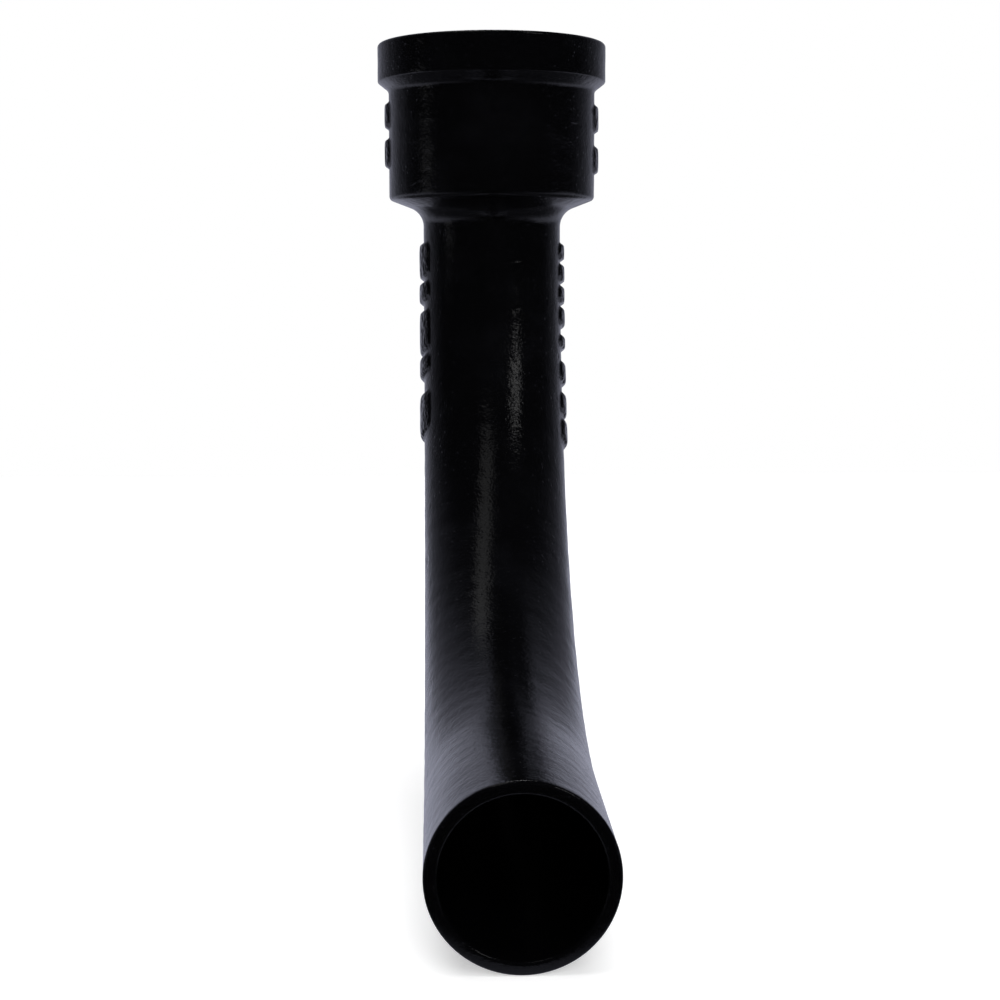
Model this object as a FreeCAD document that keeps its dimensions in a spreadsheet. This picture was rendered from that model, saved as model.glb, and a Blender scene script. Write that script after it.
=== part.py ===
import FreeCAD, Part
import math
import os
import Sketcher

# Long sweep bend: one iron casting, a quarter turn between a hub (socket) and a plain spigot.
# The origin is the centre of the hub mouth. +Z leaves the mouth, and the spigot points along -Y.

# Driving sizes, in millimetres and degrees. Depths run down from the hub face along its axis.
driving = {
    "pipe_diameter": 58.4,        # outside of the plain pipe
    "pipe_wall": 4.3,             # wall of the pipe, all the way round the sweep
    "sweep_radius": 203.2,        # radius of the curve's centreline
    "spigot_length": 76.2,        # straight run from the curve's end to the spigot end
    "socket_diameter": 74.7,      # bore that takes the next pipe's spigot
    "socket_depth": 63.5,         # hub face to the seat
    "neck_run": 6.35,             # straight run from the seat to the curve's start
    "hub_wall": 6.35,             # wall of the hub below its bead
    "bead_height": 4.55,          # how far the thick ring at the mouth stands out from the hub
    "bead_width": 15.8,           # hub face to the bead's lower corner
    "bead_slope": 3.6,            # height of the bead's slanted underside
    "shoulder_start": 1.3,        # seat down to the shoulder's outer corner
    "shoulder_overlap": 0.5,      # curve's start down to where the shoulder's slope meets the pipe
    "groove_start": 5.6,          # hub face to the joint groove in the socket wall
    "groove_width": 5.0,          # joint groove at the socket wall
    "groove_depth": 2.5,          # joint groove into the wall
    "groove_taper": 1.0,          # how far each side of the groove closes in
    "rim_round": 1.5,             # outer edge of the hub face
    "mouth_chamfer": 1.5,         # inner edge of the hub face
    "bead_round": 0.9,            # lower corner of the bead
    "bead_cove": 3.0,             # hollow corner between bead and hub
    "shoulder_round": 2.0,        # outer corner of the shoulder
    "neck_cove": 8.5,             # hollow corner between shoulder and pipe
    "seat_cove": 2.5,             # hollow corner round the seat
    "seat_round": 1.5,            # inner edge of the seat
    "spigot_round": 1.2,          # both edges of the spigot end
    "mark_height": 1.9,           # how far the raised marks stand proud
    "mark_corner": 2.2,           # cut corners of the raised marks
    "hub_left_breadth": 15.0,     # raised marks across the hub's left flank
    "hub_right_breadth": 20.0,    # raised marks across the hub's right flank
    "pipe_left_breadth": 24.0,    # raised marks across the pipe's left flank
    "pipe_right_breadth": 17.0,   # raised marks across the pipe's right flank
}

# Raised marks in rows down the two flanks, each as the gap before it and its length.
# A row on the hub is in shares of the hub's plain run, from under its bead to its shoulder.
# A row on the pipe is in millimetres along the centreline, from where the curve starts.
markRows = {
    "hub_left": [(0.104, 0.249), (0.084, 0.275)],
    "hub_right": [(0.128, 0.258), (0.121, 0.260)],
    "pipe_left": [(13.5, 15.6), (1.4, 9.2), (3.4, 18.8), (1.4, 9.0), (7.9, 18.5)],
    "pipe_right": [
        (13.5, 7.7), (1.3, 8.2), (1.3, 8.0), (1.4, 8.6),
        (3.9, 5.8), (6.1, 9.4), (4.9, 10.0), (2.2, 10.6),
    ],
}

# Sizes that follow from the driving ones.
derived = {
    "pipe_radius": "=pipe_diameter / 2",
    "waterway_radius": "=pipe_radius - pipe_wall",
    "socket_radius": "=socket_diameter / 2",
    "hub_radius": "=socket_radius + hub_wall",
    "bead_radius": "=hub_radius + bead_height",
    "bead_foot": "=bead_width + bead_slope",
    "shoulder_depth": "=socket_depth + shoulder_start",
    "plain_run": "=shoulder_depth - bead_foot",
    "curve_start": "=socket_depth + neck_run",
    "shoulder_drop": "=curve_start + shoulder_overlap - shoulder_depth",
    "shoulder_apex": "=shoulder_depth + shoulder_drop * hub_radius / (hub_radius - pipe_radius)",
    "groove_floor": "=socket_radius + groove_depth",
    "groove_end": "=groove_start + groove_width",
    "spigot_reach": "=sweep_radius + spigot_length",
    "lowest_depth": "=curve_start + sweep_radius + pipe_radius",
}

tolerance = 0.01    # how closely an edge is told from its neighbours

doc = FreeCAD.newDocument("long_sweep_bend")
sheet = doc.addObject("Spreadsheet::Sheet", "sizes")


def markAlias(row, number, what):
    return f"{row}_{number}_{what}"


def markSizes():
    # The gap and length of every raised mark, each under its own name.
    return {
        markAlias(row, number, what): size
        for row, marks in markRows.items()
        for number, mark in enumerate(marks, 1)
        for what, size in zip(("gap", "length"), mark)
    }


for line, (alias, content) in enumerate({**driving, **markSizes(), **derived}.items(), 1):
    sheet.set(f"A{line}", alias)
    sheet.setAlias(f"B{line}", alias)
    sheet.set(f"B{line}", str(content))
doc.recompute()

body = doc.addObject("PartDesign::Body", "bend_casting")
body.Label = "bend_casting"
body.Placement = FreeCAD.Placement()


def worth(expression):
    # The number that an expression on the sheet gives now.
    return float(sheet.evalExpression(expression))


def newSketch(name, role, offset="0"):
    # A sketch on one of the body's origin planes, moved along its normal by an expression.
    plane = next(plane for plane in body.Origin.OriginFeatures if plane.Role == role)
    sketch = body.newObject("Sketcher::SketchObject", name)
    sketch.AttachmentSupport = [(plane, "")]
    sketch.MapMode = "FlatFace"
    sketch.setExpression("AttachmentOffset.Base.z", offset)
    return sketch


def hold(sketch, expression, kind, *where):
    index = sketch.addConstraint(Sketcher.Constraint(kind, *where, worth(expression)))
    sketch.setExpression(f"Constraints[{index}]", expression)


def placing(geometry, end, across, down):
    # A point is held by how far it is across from the hub axis and down from the hub face.
    # Each hold is a constraint and the expression that drives it, or none on an axis.
    origin, centre = -1, 1
    acrossAxis, upAxis = -1, -2
    if across == "0":
        yield Sketcher.Constraint("PointOnObject", geometry, end, upAxis), None
    else:
        yield Sketcher.Constraint("DistanceX", origin, centre, geometry, end, worth(across)), across
    if down == "0":
        yield Sketcher.Constraint("PointOnObject", geometry, end, acrossAxis), None
    else:
        yield Sketcher.Constraint("DistanceY", geometry, end, origin, centre, worth(down)), down


def holdAll(sketch, holds):
    first = sketch.ConstraintCount
    sketch.addConstraint([constraint for constraint, expression in holds])
    for index, (constraint, expression) in enumerate(holds, first):
        if expression:
            sketch.setExpression(f"Constraints[{index}]", expression)


def addOutline(sketch, corners):
    # A closed outline of straight lines through corners, each as across and down.
    start, stop = 1, 2
    first = sketch.GeometryCount
    points = [FreeCAD.Vector(worth(across), -worth(down), 0) for across, down in corners]
    sketch.addGeometry([Part.LineSegment(*ends) for ends in zip(points, points[1:] + points[:1])])
    holds = []
    for number, (across, down) in enumerate(corners):
        line = first + number
        following = first + (number + 1) % len(corners)
        holds.append((Sketcher.Constraint("Coincident", line, stop, following, start), None))
        holds.extend(placing(line, start, across, down))
    holdAll(sketch, holds)


def addCircle(sketch, radius):
    origin, centre, middle = -1, 1, 3
    sketch.addGeometry(Part.Circle(FreeCAD.Vector(), FreeCAD.Vector(0, 0, 1), worth(radius)))
    sketch.addConstraint(Sketcher.Constraint("Coincident", 0, middle, origin, centre))
    hold(sketch, radius, "Radius", 0)


def turned(kind, name, corners):
    # An outline turned about the hub axis, to add or to cut.
    # Drawn in the bend's own plane, so that the surface's seam meets the pipe on the plane of symmetry.
    sketch = newSketch(f"{name}_outline", "YZ_Plane")
    addOutline(sketch, corners)
    feature = body.newObject(f"PartDesign::{kind}", name)
    feature.Profile = sketch
    feature.ReferenceAxis = (sketch, ["V_Axis"])
    feature.Angle = 360
    doc.recompute()


def swept(kind, name, radius, path):
    # A circle carried along the centreline from the seat to the spigot end, to add or to cut.
    sketch = newSketch(f"{name}_section", "XY_Plane", "-sizes.socket_depth")
    addCircle(sketch, radius)
    feature = body.newObject(f"PartDesign::{kind}", name)
    feature.Profile = sketch
    feature.Spine = (path, [])
    doc.recompute()


def centreline():
    # Down from the seat, round the quarter turn and out along -Y to the spigot end.
    start, stop = 1, 2
    neck, curve, spigot = 0, 1, 2
    sketch = newSketch("centreline", "YZ_Plane")
    seat = FreeCAD.Vector(0, -worth("sizes.socket_depth"), 0)
    curveTop = FreeCAD.Vector(0, -worth("sizes.curve_start"), 0)
    radius = worth("sizes.sweep_radius")
    turnCentre = curveTop - FreeCAD.Vector(radius, 0, 0)
    curveEnd = turnCentre - FreeCAD.Vector(0, radius, 0)
    spigotEnd = curveEnd - FreeCAD.Vector(worth("sizes.spigot_length"), 0, 0)
    turnCircle = Part.Circle(turnCentre, FreeCAD.Vector(0, 0, 1), radius)
    sketch.addGeometry(Part.LineSegment(seat, curveTop))
    sketch.addGeometry(Part.ArcOfCircle(turnCircle, -math.pi / 2, 0))
    sketch.addGeometry(Part.LineSegment(curveEnd, spigotEnd))
    sketch.addConstraint(Sketcher.Constraint("Tangent", neck, stop, curve, stop))
    sketch.addConstraint(Sketcher.Constraint("Tangent", curve, start, spigot, start))
    sketch.addConstraint(Sketcher.Constraint("Horizontal", spigot))
    holdAll(sketch, [
        *placing(neck, start, "0", "sizes.socket_depth"),
        *placing(neck, stop, "0", "sizes.curve_start"),
    ])
    hold(sketch, "sizes.sweep_radius", "Radius", curve)
    hold(sketch, "sizes.spigot_length", "DistanceX", spigot, stop, spigot, start)
    return sketch


def eased(kind, name, size, edges):
    # Edges of the casting so far, filleted or chamfered.
    feature = body.newObject(f"PartDesign::{kind}", name)
    feature.Base = (feature.BaseFeature, edges(feature.BaseFeature.Shape))
    feature.setExpression({"Fillet": "Radius", "Chamfer": "Size"}[kind], size)
    doc.recompute()


def edgesWhere(test):
    # Names of the edges of a shape that pass a test.
    return lambda shape: [f"Edge{n}" for n, edge in enumerate(shape.Edges, 1) if test(shape, edge)]


def onRing(radius, down):
    # The level ring about the hub axis with this radius and depth below the hub face.
    def test(shape, edge):
        middle = edge.valueAt((edge.FirstParameter + edge.LastParameter) / 2)
        level = edge.BoundBox.ZLength < tolerance and abs(middle.z + worth(down)) < tolerance
        return level and abs(math.hypot(middle.x, middle.y) - worth(radius)) < tolerance

    return edgesWhere(test)


def atNeck(shape, edge):
    # Where the shoulder's cone meets the pipe, which may be straight or curved there.
    surfaces = [face.Surface for face in shape.ancestorsOfType(edge, Part.Face)]
    cones = [surface for surface in surfaces if isinstance(surface, Part.Cone)]
    curved = [surface for surface in surfaces if isinstance(surface, Part.Toroid)]
    straight = [surface for surface in surfaces if isinstance(surface, Part.Cylinder)]
    pipes = [surface for surface in straight if abs(surface.Radius - worth("sizes.pipe_radius")) < tolerance]
    return bool(cones and (curved or pipes))


def atSpigotEnd(shape, edge):
    # Both edges of the flat ring at the spigot end.
    reach = worth("sizes.spigot_reach")
    return edge.BoundBox.YLength < tolerance and abs(edge.BoundBox.YMin + reach) < tolerance


def addHub():
    turned("Revolution", "hub", [
        ("0", "0"),
        ("sizes.bead_radius", "0"),
        ("sizes.bead_radius", "sizes.bead_width"),
        ("sizes.hub_radius", "sizes.bead_foot"),
        ("sizes.hub_radius", "sizes.shoulder_depth"),
        ("0", "sizes.shoulder_apex"),
    ])


def markOutline(row, number):
    # One raised mark, a rectangle with cut corners, as across and down.
    # On the pipe it bends with the centreline, so its corners turn about the sweep's centre.
    def name(which, what):
        return f"sizes.{markAlias(row, which, what)}"

    onHub = row.startswith("hub")
    unit = "sizes.plain_run" if onHub else "1"
    earlier = [name(which, what) for which in range(1, number) for what in ("gap", "length")]
    begin = f"(({' + '.join([*earlier, name(number, 'gap')])}) * {unit})"
    finish = f"({begin} + {name(number, 'length')} * {unit})"
    half = f"sizes.{row}_breadth / 2"
    cut = "sizes.mark_corner"
    corners = [
        (f"-({half} - {cut})", begin), (f"({half} - {cut})", begin),
        (f"({half})", f"({begin} + {cut})"), (f"({half})", f"({finish} - {cut})"),
        (f"({half} - {cut})", finish), (f"-({half} - {cut})", finish),
        (f"-({half})", f"({finish} - {cut})"), (f"-({half})", f"({begin} + {cut})"),
    ]
    if onHub:
        return [(side, f"sizes.bead_foot + {place}") for side, place in corners]
    bent = []
    for side, place in corners:
        turn = f"({place} / sizes.sweep_radius * 180 / pi)"
        radius = f"(sizes.sweep_radius + {side})"
        across = f"{radius} * cos({turn}) - sizes.sweep_radius"
        bent.append((across, f"sizes.curve_start + {radius} * sin({turn})"))
    return bent


def addMarkBelts():
    # A skin as thick as the marks are high, round the hub and all along the pipe.
    turned("Revolution", "hub_belt", [
        ("0", "sizes.bead_foot"),
        ("sizes.hub_radius + sizes.mark_height", "sizes.bead_foot"),
        ("sizes.hub_radius + sizes.mark_height", "sizes.shoulder_depth"),
        ("0", "sizes.shoulder_depth"),
    ])
    swept("AdditivePipe", "pipe_belt", "sizes.pipe_radius + sizes.mark_height", path)


def leaveMarks(flank):
    # One side of the belts goes, except what stands under the marks, so their tops are curved too.
    sketch = newSketch(f"{flank}_marks", "YZ_Plane")
    front = "-(sizes.spigot_reach + sizes.pipe_radius)"
    back = "sizes.bead_radius + sizes.pipe_radius"
    below = "sizes.lowest_depth + sizes.pipe_radius"
    addOutline(sketch, [(front, "0"), (back, "0"), (back, below), (front, below)])
    for row in markRows:
        if row.endswith(flank):
            for number in range(1, len(markRows[row]) + 1):
                addOutline(sketch, markOutline(row, number))
    feature = body.newObject("PartDesign::Pocket", f"{flank}_clearing")
    feature.Profile = sketch
    feature.Reversed = flank == "right"
    feature.setExpression("Length", "sizes.bead_radius")
    doc.recompute()


def cutSocket():
    sketch = newSketch("socket_section", "XY_Plane")
    addCircle(sketch, "sizes.socket_radius")
    feature = body.newObject("PartDesign::Pocket", "socket")
    feature.Profile = sketch
    feature.setExpression("Length", "sizes.socket_depth")
    doc.recompute()


def cutJointGroove():
    turned("Groove", "joint_groove", [
        ("sizes.waterway_radius", "sizes.groove_start"),
        ("sizes.socket_radius", "sizes.groove_start"),
        ("sizes.groove_floor", "sizes.groove_start + sizes.groove_taper"),
        ("sizes.groove_floor", "sizes.groove_end - sizes.groove_taper"),
        ("sizes.socket_radius", "sizes.groove_end"),
        ("sizes.waterway_radius", "sizes.groove_end"),
    ])


def easeEdges():
    # Rounded, hollow and cut edges, each with the radius and depth of its ring.
    for kind, name, radius, depth in (
        ("Fillet", "rim_round", "bead_radius", "0"),
        ("Fillet", "bead_round", "bead_radius", "sizes.bead_width"),
        ("Fillet", "bead_cove", "hub_radius", "sizes.bead_foot"),
        ("Fillet", "shoulder_round", "hub_radius", "sizes.shoulder_depth"),
        ("Chamfer", "mouth_chamfer", "socket_radius", "0"),
        ("Fillet", "seat_cove", "socket_radius", "sizes.socket_depth"),
        ("Fillet", "seat_round", "waterway_radius", "sizes.socket_depth"),
    ):
        eased(kind, f"{name}_edge", f"sizes.{name}", onRing(f"sizes.{radius}", depth))
    eased("Fillet", "spigot_round_edges", "sizes.spigot_round", edgesWhere(atSpigotEnd))


def broken():
    words = ("Invalid", "Error")
    return [thing.Name for thing in doc.Objects if any(word in thing.State for word in words)]


def writeCasting():
    doc.recompute()
    shape = body.Shape
    if broken() or shape.isNull() or not shape.isValid() or len(shape.Solids) != 1:
        raise RuntimeError(f"The casting is not one sound solid: {broken()}")
    os.makedirs("parts", exist_ok=True)
    shape.exportStep(f"parts/{body.Label}.step")
    print(body.Label, f"{shape.Volume:.0f} cubic millimetres", shape.optimalBoundingBox())


path = centreline()
addMarkBelts()
for flank in ("left", "right"):
    leaveMarks(flank)
addHub()
swept("AdditivePipe", "pipe", "sizes.pipe_radius", path)
eased("Fillet", "neck_cove_edge", "sizes.neck_cove", edgesWhere(atNeck))
cutSocket()
swept("SubtractivePipe", "waterway", "sizes.waterway_radius", path)
easeEdges()
cutJointGroove()
writeCasting()
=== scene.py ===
import math

import bpy
import numpy as np
from mathutils import Matrix, Vector


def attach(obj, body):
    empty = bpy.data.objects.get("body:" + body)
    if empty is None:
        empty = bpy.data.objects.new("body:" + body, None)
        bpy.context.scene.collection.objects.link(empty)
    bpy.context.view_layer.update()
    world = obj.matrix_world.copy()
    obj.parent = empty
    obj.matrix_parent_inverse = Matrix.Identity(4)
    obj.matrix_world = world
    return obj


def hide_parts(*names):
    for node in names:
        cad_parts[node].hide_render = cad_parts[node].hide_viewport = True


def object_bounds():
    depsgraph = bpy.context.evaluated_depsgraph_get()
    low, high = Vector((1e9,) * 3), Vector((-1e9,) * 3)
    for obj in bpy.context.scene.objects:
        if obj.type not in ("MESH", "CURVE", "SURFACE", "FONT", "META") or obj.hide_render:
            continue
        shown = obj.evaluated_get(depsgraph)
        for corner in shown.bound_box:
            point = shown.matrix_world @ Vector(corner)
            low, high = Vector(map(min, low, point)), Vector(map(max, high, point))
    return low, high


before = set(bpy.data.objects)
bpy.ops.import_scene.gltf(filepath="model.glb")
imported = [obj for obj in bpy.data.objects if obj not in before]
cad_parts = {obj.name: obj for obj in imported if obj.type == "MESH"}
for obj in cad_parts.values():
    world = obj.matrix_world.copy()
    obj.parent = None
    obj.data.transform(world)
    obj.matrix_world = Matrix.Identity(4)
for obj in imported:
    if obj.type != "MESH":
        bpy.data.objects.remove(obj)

cadBox = [list(corner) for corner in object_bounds()]
print("frame loaded, box", cadBox)


def smooth(value):
    # Eases 0 to 1: three times the square less twice the cube of the clipped value.
    value = np.clip(value, 0.0, 1.0)
    return value * value * (3.0 - 2.0 * value)


# Sizes of the casting in millimetres. Depths run down the centreline from the hub face.
casting = {
    "pipeRadius": 29.2,
    "boreRadius": 24.9,
    "sweepRadius": 203.2,
    "curveStart": 69.85,
    "spigotRun": 76.2,
    "spigotRound": 1.2,
    "socketRadius": 37.35,
    "socketDepth": 63.5,
    "socketCove": 2.5,
    "seatRound": 1.5,
    "hubRadius": 43.7,
    "beadRadius": 48.25,
    "beadWidth": 15.8,
    "beadFoot": 19.4,
    "beadRound": 0.9,
    "beadCove": 3.0,
    "rimRound": 1.5,
    "shoulderDepth": 64.8,
    "shoulderMeets": 70.35,
    "shoulderRound": 2.0,
    "neckCove": 8.5,
    "grooveDepths": (5.6, 6.6, 9.6, 10.6),
    "grooveFloor": 39.85,
    "grooveRound": 0.5,
    "mouthChamfer": 1.5,
    "sharpRound": 0.3,
    # The mesh: the spacings between its rows, the depths between which they lie close for the marks,
    # the columns on a flank and between the flanks, and half a flank's angle in degrees.
    "fineSpacing": 0.5,
    "plainSpacing": 1.9,
    "boreSpacing": 5.0,
    "fineOnHub": (23.5, 56.0),
    "fineOnPipe": (82.0, 175.0),
    "columnsAcrossFlank": 45,
    "columnsElsewhere": 32,
    "flankHalfAngle": 27.0,
    "leastTurn": 1e-6,  # radians, below which a corner is taken as straight
    "flowRadius": 0.03,  # metres, of the ring that the brushed lines are drawn on
}


def roundedLoop(corners):
    # A closed loop through corners given as depth, radius, corner radius, points on the corner's arc
    # and spacing of the run after it. An arc starts and ends at the corner radius times the tangent
    # of half the turn from the corner, and its points turn about its centre by equal steps.
    places = np.array([corner[:2] for corner in corners])
    rows = []
    for index, (depth, radius, rounding, arcPoints, spacing) in enumerate(corners):
        corner = places[index]
        before = corner - places[index - 1]
        after = places[(index + 1) % len(corners)] - corner
        before, after = before / np.hypot(*before), after / np.hypot(*after)
        turn = math.atan2(before[0] * after[1] - before[1] * after[0], before @ after)
        if rounding and abs(turn) > casting["leastTurn"]:
            towards = math.copysign(1.0, turn) * np.array([-before[1], before[0]])
            start = corner - before * rounding * math.tan(abs(turn) / 2)
            steps = np.linspace(0.0, abs(turn), arcPoints)[:, None]
            arc = start + towards * rounding * (1 - np.cos(steps)) + before * rounding * np.sin(steps)
        else:
            arc = corner[None]
        rows.append((arc, spacing))
    loop = []
    for (arc, spacing), (following, _) in zip(rows, rows[1:] + rows[:1]):
        gap = following[0] - arc[-1]
        count = max(int(round(np.hypot(*gap) / spacing)), 1)
        run = arc[-1] + gap * (np.arange(1, count) / count)[:, None]
        loop.extend([arc, run])
    return np.concatenate(loop)


def castingLoop():
    # The wall of the casting cut along its centreline: outside from the spigot end up to the mouth,
    # then down the socket and the bore. Each row gives a corner's depth, radius and corner radius,
    # the points on its arc, and the spacing after it.
    c = casting
    reach = c["curveStart"] + c["sweepRadius"] * math.pi / 2 + c["spigotRun"]
    fine, plain, bore = c["fineSpacing"], c["plainSpacing"], c["boreSpacing"]
    hubStart, hubEnd = c["fineOnHub"]
    pipeStart, pipeEnd = c["fineOnPipe"]
    groove = c["grooveDepths"]
    return roundedLoop([
        (reach, c["boreRadius"], c["spigotRound"], 5, 1.0),
        (reach, c["pipeRadius"], c["spigotRound"], 6, plain),
        (pipeEnd, c["pipeRadius"], 0, 1, fine),
        (pipeStart, c["pipeRadius"], 0, 1, 0.9),
        (c["shoulderMeets"], c["pipeRadius"], c["neckCove"], 12, 1.2),
        (c["shoulderDepth"], c["hubRadius"], c["shoulderRound"], 6, 0.9),
        (hubEnd, c["hubRadius"], 0, 1, fine),
        (hubStart, c["hubRadius"], 0, 1, 0.6),
        (c["beadFoot"], c["hubRadius"], c["beadCove"], 7, 0.6),
        (c["beadWidth"], c["beadRadius"], c["beadRound"], 5, 1.2),
        (0.0, c["beadRadius"], c["rimRound"], 7, 1.1),
        (0.0, c["socketRadius"] + c["mouthChamfer"], c["sharpRound"], 3, 0.6),
        (c["mouthChamfer"], c["socketRadius"], c["sharpRound"], 3, 1.4),
        (groove[0], c["socketRadius"], c["sharpRound"], 3, 0.6),
        (groove[1], c["grooveFloor"], c["grooveRound"], 3, 1.2),
        (groove[2], c["grooveFloor"], c["grooveRound"], 3, 0.6),
        (groove[3], c["socketRadius"], c["sharpRound"], 3, 2.6),
        (c["socketDepth"], c["socketRadius"], c["socketCove"], 6, 1.6),
        (c["socketDepth"], c["boreRadius"], c["seatRound"], 5, bore),
    ])


def columnAngles():
    # Angles round the centreline from the outside of the bend towards +X, close together on the
    # two flanks, where the marks are.
    half = math.radians(casting["flankHalfAngle"])
    flank = np.linspace(-half, half, casting["columnsAcrossFlank"], endpoint=False)
    span = np.linspace(half, math.pi - half, casting["columnsElsewhere"], endpoint=False)
    right = np.concatenate([flank, span]) + math.pi / 2
    return np.concatenate([right, right + math.pi])


# Raised marks on the two flanks, in millimetres: each row stands on the hub or the pipe, on the -X or
# the +X side, with its breadth round the casting and each mark's gap before it and its length.
marks = {
    "rows": (
        ("hub", -1, 15.0, ((4.7, 11.3), (3.8, 12.5))),
        ("hub", 1, 20.0, ((5.8, 11.7), (5.5, 11.8))),
        ("pipe", -1, 24.0, ((13.5, 15.6), (1.4, 9.2), (3.4, 18.8), (1.4, 9.0), (7.9, 18.5))),
        ("pipe", 1, 17.0, ((13.5, 7.7), (1.3, 8.2), (1.3, 8.0), (1.4, 8.6),
                           (3.9, 5.8), (6.1, 9.4), (4.9, 10.0), (2.2, 10.6))),
    ),
    "height": 1.88,
    "cutCorner": 2.2,
    "foot": 0.45,
    "brow": 1.1,
    "domeAcross": 0.75,
    "domeAlong": 0.25,
}


def octagonRise(depth, across, start, length, breadth):
    # 0 outside a mark and 1 at its crown. The distance inside its outline is the least of those from
    # its sides, its ends and its cut corners, and the rise eases from the foot to the brow. The top
    # falls with the square of the way to the sides and the fourth power of the way to the ends.
    along = np.abs(depth - (start + length / 2))
    across = np.abs(across)
    corner = (breadth / 2 + length / 2 - marks["cutCorner"] - along - across) / math.sqrt(2)
    inside = np.minimum(np.minimum(length / 2 - along, breadth / 2 - across), corner)
    rise = smooth((inside + marks["foot"]) / (marks["foot"] + marks["brow"]))
    fall = marks["domeAcross"] * (2 * across / breadth) ** 2
    fall = fall + marks["domeAlong"] * (2 * along / length) ** 4
    return rise * np.clip(1 - fall, 0, 1)


def flankMarks(depth, radius, angle, outside):
    # For every point, how far up a mark it is: 0 on the plain surface and 1 on a mark's top.
    rowStarts = {"hub": casting["beadFoot"], "pipe": casting["curveStart"]}
    drawn = np.zeros(np.broadcast(depth, angle).shape)
    for zone, side, breadth, gaps in marks["rows"]:
        facing = outside & (np.sign(np.sin(angle)) == side)
        begin = rowStarts[zone]
        for gap, length in gaps:
            begin += gap
            rise = octagonRise(depth, radius * np.cos(angle), begin, length, breadth)
            drawn = np.maximum(drawn, np.where(facing, rise, 0.0))
            begin += length
    return drawn


# How uneven the sand mould left the outside, in millimetres. Everything here only lowers the surface,
# and it fades out over a few millimetres at the spigot end and the mouth.
sandFace = {
    "seed": 11,
    "waves": 26,
    "waveLengths": (60, 9),
    "wavesRound": 9,
    "waveCrest": 1.3,
    "waveDepth": 0.10,
    "pits": 150,
    "pitRadius": (0.9, 2.6),
    "pitDepth": (0.10, 0.38),
    "pitsFrom": 20,
    "pitsEndMargin": 4,
    "spigotMargin": 1.5,
    "spigotFade": 6,
    "mouthMargin": 0.5,
    "mouthFade": 3,
}


def sandWaves(depth, angle, random):
    # Slow unevenness: a sum of cosines in depth and angle, each a whole number of waves round the
    # pipe, divided by their spread times the wave crest and cut to run from 0 down to the wave depth.
    longest, shortest = sandFace["waveLengths"]
    height = np.zeros(np.broadcast(depth, angle).shape)
    for _ in range(sandFace["waves"]):
        turns = random.integers(0, sandFace["wavesRound"])
        along = random.uniform(1 / longest, 1 / shortest) * 2 * math.pi
        phase = random.uniform(0, 2 * math.pi)
        height += np.cos(along * depth + turns * angle + phase)
    height /= math.sqrt(sandFace["waves"]) * sandFace["waveCrest"]
    return sandFace["waveDepth"] * (np.clip(height, -1, 1) - 1) / 2


def sandPits(depth, radius, angle, reach, random):
    # Shallow bowls: depth times the eased share of the pit's radius that is left at each point.
    last = reach - sandFace["pitsEndMargin"]
    sunk = np.zeros(np.broadcast(depth, angle).shape)
    for _ in range(sandFace["pits"]):
        centre, turn = random.uniform(sandFace["pitsFrom"], last), random.uniform(0, 2 * math.pi)
        size, deep = random.uniform(*sandFace["pitRadius"]), random.uniform(*sandFace["pitDepth"])
        apart = (angle - turn + math.pi) % (2 * math.pi) - math.pi
        away = np.hypot(depth - centre, radius * apart) / size
        sunk = np.maximum(sunk, deep * smooth(1 - away))
    return -sunk


def sweptPlace(depth, radius, angle):
    # Carries a section along the centreline: straight down, round the quarter turn, straight out.
    # The outward direction of the bend and its tangent both turn with the sweep's angle.
    c = casting
    turn = np.clip((depth - c["curveStart"]) / c["sweepRadius"], 0, math.pi / 2)
    down = np.minimum(depth, c["curveStart"])
    out = np.maximum(depth - c["curveStart"] - c["sweepRadius"] * math.pi / 2, 0)
    y = -c["sweepRadius"] * (1 - np.cos(turn)) - out + radius * np.cos(angle) * np.cos(turn)
    z = -down - c["sweepRadius"] * np.sin(turn) - radius * np.cos(angle) * np.sin(turn)
    x = radius * np.sin(angle) + 0 * depth
    return np.stack(np.broadcast_arrays(x, y, z), axis=-1)


def gridFaces(rowCount, columnCount):
    # Squares of a grid that closes on itself in both directions.
    row, column = np.meshgrid(np.arange(rowCount), np.arange(columnCount), indexing="ij")
    nextRow, nextColumn = (row + 1) % rowCount, (column + 1) % columnCount
    square = [row * columnCount + column, row * columnCount + nextColumn,
              nextRow * columnCount + nextColumn, nextRow * columnCount + column]
    return np.stack(square, axis=-1).reshape(-1, 4)


def meshFrom(name, points, faces):
    mesh = bpy.data.meshes.new(name)
    mesh.from_pydata(points, [], faces)
    mesh.shade_smooth()
    mesh.update()
    made = bpy.data.objects.new(name, mesh)
    bpy.context.scene.collection.objects.link(made)
    return made


def keepOnPoints(made, name, kind, field, values):
    # Stores an array on the surface, one entry for each point.
    layer = made.data.attributes.new(name, kind, "POINT")
    layer.data.foreach_set(field, np.ascontiguousarray(values, dtype=np.float32).ravel())


def insideOut(points, faces):
    # The volume that the surface closes, as a sum over its squares, is negative if it is inside out.
    a, b, c, d = (points[faces[:, corner]] for corner in range(4))
    return np.sum(np.einsum("ij,ij->i", a, np.cross(b, c) + np.cross(c, d))) < 0


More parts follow.
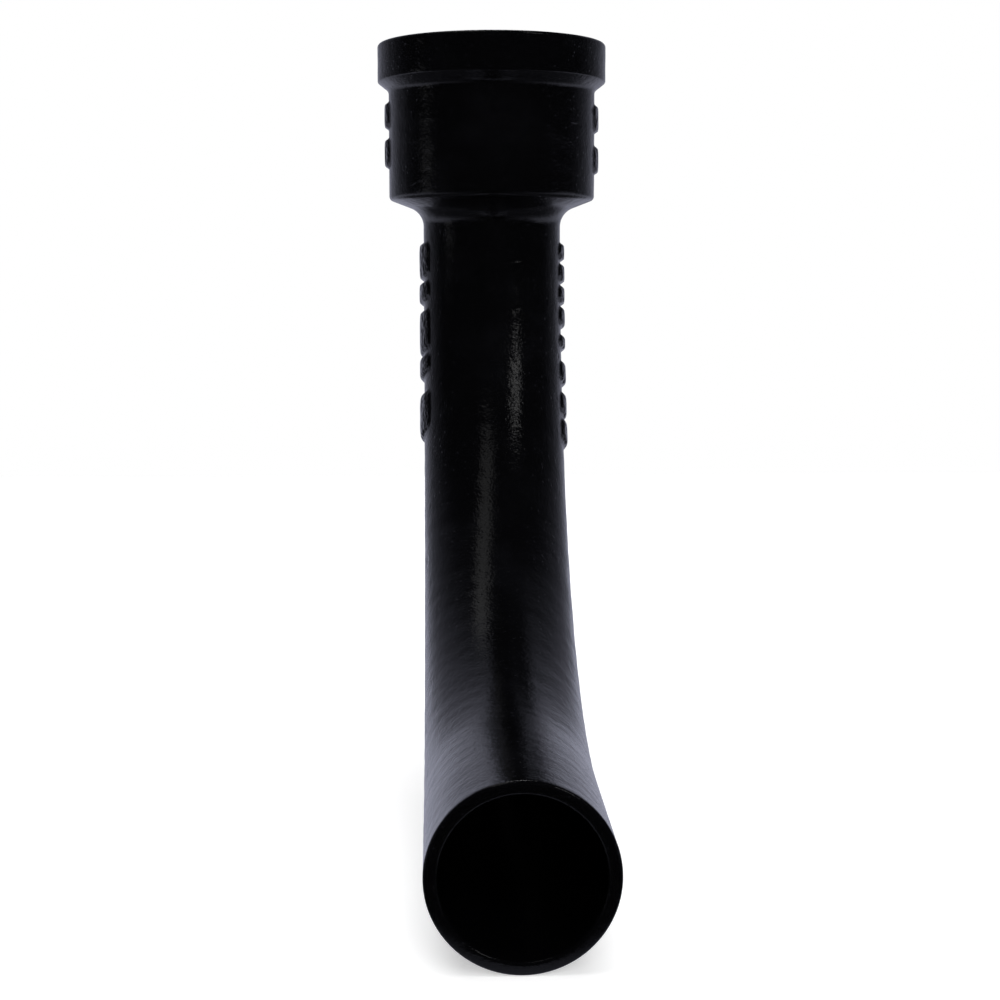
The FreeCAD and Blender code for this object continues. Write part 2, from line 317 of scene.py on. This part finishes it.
def makeCasting():
    loop = castingLoop()
    angle = columnAngles()[None, :]
    depth, radius = loop[:, :1], loop[:, 1:]
    reach = float(depth.max())
    # The outside is the loop's first part, up to the mouth, without the bore's side of the end.
    outside = radius > casting["pipeRadius"] - casting["spigotRound"] / 2
    outside &= np.arange(len(loop))[:, None] < np.argmin(depth[:, 0]) + 1
    random = np.random.default_rng(sandFace["seed"])
    uneven = sandWaves(depth, angle, random) + sandPits(depth, radius, angle, reach, random)
    fade = smooth((reach - sandFace["spigotMargin"] - depth) / sandFace["spigotFade"])
    fade = fade * smooth((depth - sandFace["mouthMargin"]) / sandFace["mouthFade"])
    lowered = radius + np.where(outside, uneven * fade, 0.0)
    drawn = flankMarks(depth, lowered, angle, outside)
    points = sweptPlace(depth, lowered + drawn * marks["height"], angle).reshape(-1, 3) / 1000
    faces = gridFaces(len(loop), angle.shape[1])
    if insideOut(points, faces):
        faces = faces[:, ::-1]
    made = meshFrom("long_sweep_casting", points, faces)
    # Kept for the finish: depth with the way round, how much is a mark, and what is outside.
    ring = casting["flowRadius"]
    flow = np.broadcast_arrays(depth / 1000, np.cos(angle) * ring, np.sin(angle) * ring)
    keepOnPoints(made, "flow", "FLOAT_VECTOR", "vector", np.stack(flow, axis=-1))
    keepOnPoints(made, "raised", "FLOAT", "value", drawn)
    keepOnPoints(made, "outside", "FLOAT", "value", np.broadcast_to(outside, drawn.shape))
    print("casting", len(loop), "rows", angle.shape[1], "columns", 2 * len(faces), "triangles")
    return made


class Value:
    # A number socket in a node tree. Arithmetic on it adds Math nodes.
    def __init__(self, nodes, socket):
        self.nodes, self.socket = nodes, socket

    def math(self, operation, *others):
        values = dict(enumerate((self, *others)))
        node = self.nodes.add("ShaderNodeMath", {"operation": operation}, values)
        return Value(self.nodes, node.outputs[0])

    def __add__(self, other):
        return self.math("ADD", other)

    __radd__ = __add__

    def __sub__(self, other):
        return self.math("SUBTRACT", other)

    def __rsub__(self, other):
        return -self + other

    def __neg__(self):
        return self * -1.0

    def __abs__(self):
        return self.math("ABSOLUTE")

    def __mul__(self, other):
        return self.math("MULTIPLY", other)

    __rmul__ = __mul__

    def __pow__(self, other):
        return self.math("POWER", other)

    def most(self, other):
        return self.math("MAXIMUM", other)

    def ease(self, low, high):
        # 0 below low, 1 above high and smooth between.
        node = self.nodes.add("ShaderNodeMapRange", {"interpolation_type": "SMOOTHSTEP"},
                              {"Value": self, "From Min": low, "From Max": high})
        return Value(self.nodes, node.outputs[0])


class Nodes:
    # The node tree of a material or a world.
    def __init__(self, owner):
        owner.use_nodes = True
        self.tree = owner.node_tree
        self.tree.nodes.clear()

    def add(self, kind, settings=None, values=None):
        node = self.tree.nodes.new(kind)
        for name, setting in (settings or {}).items():
            setattr(node, name, setting)
        for name, value in (values or {}).items():
            target = node.inputs[name]
            if isinstance(value, Value):
                value = value.socket
            if isinstance(value, bpy.types.NodeSocket):
                self.tree.links.new(value, target)
            else:
                target.default_value = value
        return node

    def value(self, node, output):
        return Value(self, node.outputs[output])

    def attribute(self, name):
        return self.add("ShaderNodeAttribute", {"attribute_name": name})

    def parts(self, vector):
        # The three numbers of a vector.
        node = self.add("ShaderNodeSeparateXYZ", {}, {0: vector})
        return [self.value(node, axis) for axis in range(3)]

    def noise(self, vector, scale, detail, roughness):
        node = self.add("ShaderNodeTexNoise", {}, {
            "Vector": vector, "Scale": scale, "Detail": detail, "Roughness": roughness,
        })
        return self.value(node, "Fac")

    def blend(self, factor, first, second):
        node = self.add("ShaderNodeMix", {"data_type": "RGBA"}, {0: factor, 6: first, 7: second})
        return node.outputs[2]

    def scaled(self, vector, factors):
        node = self.add("ShaderNodeVectorMath", {"operation": "MULTIPLY"}, {0: vector, 1: factors})
        return node.outputs[0]

    def bump(self, height, distance, below=None):
        values = {"Height": height, "Distance": distance, "Strength": 1.0}
        if below:
            values["Normal"] = below
        return self.add("ShaderNodeBump", {}, values).outputs[0]


# The coating: nearly black bitumen over sand-cast iron. Scales are in waves per metre, and heights are
# how far in metres the surface seems to rise. The brushed lines set in between two depths in metres.
coating = {
    "black": (0.0012, 0.0012, 0.0015, 1.0),
    "worn": (0.0032, 0.0033, 0.0041, 1.0),
    "wornShare": 0.6,
    "wornFrom": 0.42,
    "wornTo": 0.72,
    "patchScale": 34.0,
    "roughness": 0.125,
    "patchRoughness": 0.10,
    "grainRoughness": 0.08,
    "markSheen": 0.06,
    "ior": 1.5,
    "grainScale": 900.0,
    "grainHeight": 0.00012,
    "lumpScale": 260.0,
    "lumpHeight": 0.00014,
    "brushedScale": (700.0, 45.0, 45.0),
    "brushedHeight": 0.000016,
    "brushedFrom": 0.12,
    "brushedTo": 0.24,
    "pitScale": 380.0,
    "pitShare": 0.55,
    "pitShareEdge": 0.01,
    "pitCore": 0.04,
    "pitEdge": 0.17,
    "pitHeight": 0.0003,
    "markLumpScale": 360.0,
    "markLumpHeight": 0.0012,
}


def coatedIron():
    material = bpy.data.materials.new("coated iron")
    n = Nodes(material)
    place = n.add("ShaderNodeTexCoord").outputs["Object"]
    flow = n.attribute("flow").outputs["Vector"]
    depth = n.parts(flow)[0]
    raised = n.value(n.attribute("raised"), "Fac")
    outside = n.value(n.attribute("outside"), "Fac")
    grain = n.noise(place, coating["grainScale"], 2.0, 0.6)
    lumps = n.noise(place, coating["lumpScale"], 2.0, 0.5)
    patches = n.noise(place, coating["patchScale"], 3.0, 0.6)
    brushed = n.noise(n.scaled(flow, coating["brushedScale"]), 1.0, 2.0, 0.5)
    brushed = (brushed - 0.5) * depth.ease(coating["brushedFrom"], coating["brushedTo"])
    markLumps = (n.noise(place, coating["markLumpScale"], 1.0, 0.5) - 0.5) * raised
    # Some of the cells, picked by the red of their colour, have a pit in the middle.
    cells = n.add("ShaderNodeTexVoronoi", {}, {"Vector": place, "Scale": coating["pitScale"]})
    picked = n.value(n.add("ShaderNodeSeparateColor", {}, {0: cells.outputs["Color"]}), 0)
    picked = 1 - picked.ease(coating["pitShare"], coating["pitShare"] + coating["pitShareEdge"])
    pits = 1 - n.value(cells, "Distance").ease(coating["pitCore"], coating["pitEdge"])
    pits = pits * picked * (1 - raised)
    worn = patches.ease(coating["wornFrom"], coating["wornTo"]) * coating["wornShare"] * outside
    rough = coating["roughness"] + (patches - 0.5) * coating["patchRoughness"]
    rough = rough + (grain - 0.5) * coating["grainRoughness"] - raised * coating["markSheen"]
    normal = n.bump(lumps, coating["lumpHeight"])
    normal = n.bump(brushed, coating["brushedHeight"], normal)
    normal = n.bump(markLumps, coating["markLumpHeight"], normal)
    normal = n.bump(1 - pits, coating["pitHeight"], normal)
    normal = n.bump(grain, coating["grainHeight"], normal)
    shader = n.add("ShaderNodeBsdfPrincipled", {}, {
        "Base Color": n.blend(worn, coating["black"], coating["worn"]),
        "Roughness": rough, "Metallic": 0.0, "IOR": coating["ior"], "Normal": normal,
    })
    n.add("ShaderNodeOutputMaterial", {}, {"Surface": shader.outputs[0]})
    return material


white = (1.0, 1.0, 1.0, 1.0)

# The floor: its size in metres, its colour and how much is added where the camera sees it. The rest
# is a painted reflection, the glow that the gloss shows of the floor instead of white: its levels, and
# where they change. That goes by y less a slope times the distance from the middle plane for what is
# behind, by that distance alone for what is under, by the radius for what is far, and by the slant of
# the mirrored ray for what is steep.
ground = {
    "half": 1.2,
    "colour": (0.82, 0.82, 0.82, 1.0),
    "glow": 0.5,
    "mirrored": 0.58,
    "shaded": 0.06,
    "behindSlope": 2.0,
    "behindFrom": -0.44,
    "behindTo": -0.30,
    "steepFrom": 0.40,
    "steepTo": 0.72,
    "underInner": 0.03,
    "underOuter": 0.07,
    "farInner": 0.25,
    "farOuter": 0.75,
    "stripInner": 0.12,
    "stripOuter": 0.30,
    "stripFrom": -0.34,
    "stripTo": -0.22,
}

# The room: white where the camera sees it. The gloss shows levels of its own instead, bright behind
# the casting and more so low down, falling off to the sides and with height, and dark towards the
# camera and where a flag shades it. The tint and the front also hold for the floor in the gloss.
room = {
    "tint": (0.79, 0.81, 1.0),
    "back": 0.38,
    "falloff": 2.0,
    "top": 0.4,
    "low": 0.12,
    "lowTo": 0.16,
    "flagLean": 0.3,
    "flagFrom": 0.05,
    "flagTo": 0.22,
    "flagSide": -0.02,
    "below": 0.40,
    "belowFrom": 0.02,
    "belowTo": 0.10,
    "least": 0.010,
    "frontFrom": -0.55,
    "frontTo": -0.05,
}


def paintedFloorReflection(n):
    # Painted reflection: what the gloss shows of the floor is a glow, bright behind the casting where
    # it is seen at a slant, right under it, and far off except in front, and dark in a strip towards
    # the camera.
    across, along = n.parts(n.add("ShaderNodeTexCoord").outputs["Object"])[:2]
    aside = abs(across)
    slant = n.value(n.add("ShaderNodeLayerWeight", {}, {"Blend": 0.5}), "Facing")
    under = 1 - aside.ease(ground["underInner"], ground["underOuter"])
    behind = (along - aside * ground["behindSlope"]).ease(ground["behindFrom"], ground["behindTo"])
    behind = behind * slant.ease(ground["steepFrom"], ground["steepTo"]).most(under)
    far = ((across * across + along * along) ** 0.5).ease(ground["farInner"], ground["farOuter"])
    far = far * along.ease(room["frontFrom"], room["frontTo"])
    level = behind.most(far) * (ground["mirrored"] - ground["shaded"]) + ground["shaded"]
    strip = aside.ease(ground["stripInner"], ground["stripOuter"])
    level = level * strip.most(along.ease(ground["stripFrom"], ground["stripTo"]))
    colour = n.scaled(room["tint"], level)
    return n.add("ShaderNodeEmission", {}, {"Color": colour, "Strength": 1.0}).outputs[0]


def makeFloor():
    # A plain pale sheet under the lowest point of the casting, which keeps its shadow.
    low = cadBox[0][2]
    half = ground["half"]
    points = np.array([(-half, -half, low), (half, -half, low), (half, half, low), (-half, half, low)])
    floor = meshFrom("pale_floor", points, np.array([(0, 1, 2, 3)]))
    material = bpy.data.materials.new("pale floor")
    n = Nodes(material)
    path = n.add("ShaderNodeLightPath")
    sheet = n.add("ShaderNodeBsdfDiffuse", {}, {"Color": ground["colour"]}).outputs[0]
    glow = n.add("ShaderNodeEmission", {}, {"Color": white, "Strength": ground["glow"]}).outputs[0]
    seen = n.add("ShaderNodeAddShader", {}, {0: sheet, 1: glow}).outputs[0]
    # Glossy rays see the painted reflection in place of the lit sheet; other rays see the sheet.
    mirrored = paintedFloorReflection(n)
    other = n.add("ShaderNodeMixShader", {}, {
        0: path.outputs["Is Glossy Ray"], 1: sheet, 2: mirrored,
    }).outputs[0]
    mixed = n.add("ShaderNodeMixShader", {}, {0: path.outputs["Is Camera Ray"], 1: other, 2: seen})
    n.add("ShaderNodeOutputMaterial", {}, {"Surface": mixed.outputs[0]})
    floor.data.materials.append(material)
    print("floor at", low)


def makeRoom():
    # The level is the backward part of the direction raised to the falloff, times the back's level
    # less a share of its height and with more low down, or that of the floor going on below the
    # horizon. The flag leans outwards with height, and leaves the -X side.
    world = bpy.data.worlds.new("studio")
    bpy.context.scene.world = world
    n = Nodes(world)
    across, along, up = n.parts(n.add("ShaderNodeTexCoord").outputs["Generated"])
    low = (1 - up.ease(0.0, room["lowTo"])) * room["low"]
    level = (1 - up.most(0.0) * room["top"]) * room["back"] + low
    level = along.most(0.0) ** room["falloff"] * level
    flag = (across - up * room["flagLean"]).ease(room["flagFrom"], room["flagTo"])
    level = level * flag.most((-across).ease(room["flagSide"], 0.0))
    below = (-up).ease(room["belowFrom"], room["belowTo"]) * room["below"]
    below = below * along.ease(room["frontFrom"], room["frontTo"])
    colour = n.scaled(room["tint"], level.most(below) + room["least"])
    mirrored = n.add("ShaderNodeBackground", {}, {"Color": colour, "Strength": 1.0})
    seen = n.add("ShaderNodeBackground", {}, {"Color": white, "Strength": 1.0})
    path = n.add("ShaderNodeLightPath")
    straight = n.value(path, "Is Camera Ray").most(n.value(path, "Is Transmission Ray"))
    mixed = n.add("ShaderNodeMixShader", {}, {0: straight, 1: mirrored.outputs[0], 2: seen.outputs[0]})
    n.add("ShaderNodeOutputWorld", {}, {"Surface": mixed.outputs[0]})


# Lamps, each with its place, what it faces, its width and height in metres, its power in watts, and
# whether it shows in the gloss. The two that don't are the plain soft light.
lamps = {
    "soft_above": ((0.0, 0.2, 2.3), (0.0, -0.05, -0.3), 3.0, 3.0, 66.0, False),
    "soft_front": ((0.5, -2.2, 0.9), (0.0, 0.0, -0.15), 2.0, 2.0, 38.0, False),
    "side_window": ((-1.52, -0.32, -0.10), (0.0, 0.0, -0.05), 0.24, 0.34, 0.06, True),
    "front_window": ((0.90, -0.93, 0.90), (0.0, 0.0, -0.13), 0.15, 0.50, 0.45, True),
    "overhead": ((-0.425, -0.01, 1.20), (-0.005, 0.067, -0.2), 1.8, 0.34, 0.55, True),
    "back_window": ((0.0, 1.0, 1.15), (0.0, -0.05, -0.2), 0.45, 0.45, 1.6, True),
}


def makeLamps():
    for name, (place, target, width, height, power, shows) in lamps.items():
        light = bpy.data.lights.new(name, "AREA")
        light.shape = "RECTANGLE"
        light.size, light.size_y = width, height
        light.energy = power
        lamp = bpy.data.objects.new(name, light)
        lamp.location = place
        lamp.rotation_euler = (Vector(target) - Vector(place)).to_track_quat("-Z", "Y").to_euler()
        lamp.visible_glossy = shows
        lamp.visible_camera = False
        bpy.context.scene.collection.objects.link(lamp)


# The camera: place and clipping in metres, turn to the right and up in radians, roll, and lens and
# sensor in millimetres.
view = {
    "place": (-0.02506, -0.7981, -0.1040),
    "yaw": 0.0356,
    "pitch": -0.112,
    "roll": -0.0013,
    "lens": 66.46,
    "sensor": 36.0,
    "clip": (0.01, 100.0),
}


def makeCamera():
    yaw, pitch, roll = view["yaw"], view["pitch"], view["roll"]
    forward = Vector((math.sin(yaw) * math.cos(pitch), math.cos(yaw) * math.cos(pitch), math.sin(pitch)))
    right = Vector((math.cos(yaw), -math.sin(yaw), 0.0))
    up = right.cross(forward)
    right, up = right * math.cos(roll) + up * math.sin(roll), up * math.cos(roll) - right * math.sin(roll)
    data = bpy.data.cameras.new("camera")
    data.sensor_width = view["sensor"]
    data.lens = view["lens"]
    data.clip_start, data.clip_end = view["clip"]
    camera = bpy.data.objects.new("camera", data)
    camera.location = view["place"]
    camera.rotation_euler = Matrix((right, up, -forward)).transposed().to_euler()
    bpy.context.scene.collection.objects.link(camera)
    bpy.context.scene.camera = camera


piece = makeCasting()
piece.data.materials.append(coatedIron())
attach(piece, "root")
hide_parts("bend_casting")
makeFloor()
makeRoom()
makeLamps()
makeCamera()
bpy.context.scene.view_settings.view_transform = "Standard"
print("studio ready")

bpy.context.view_layer.update()
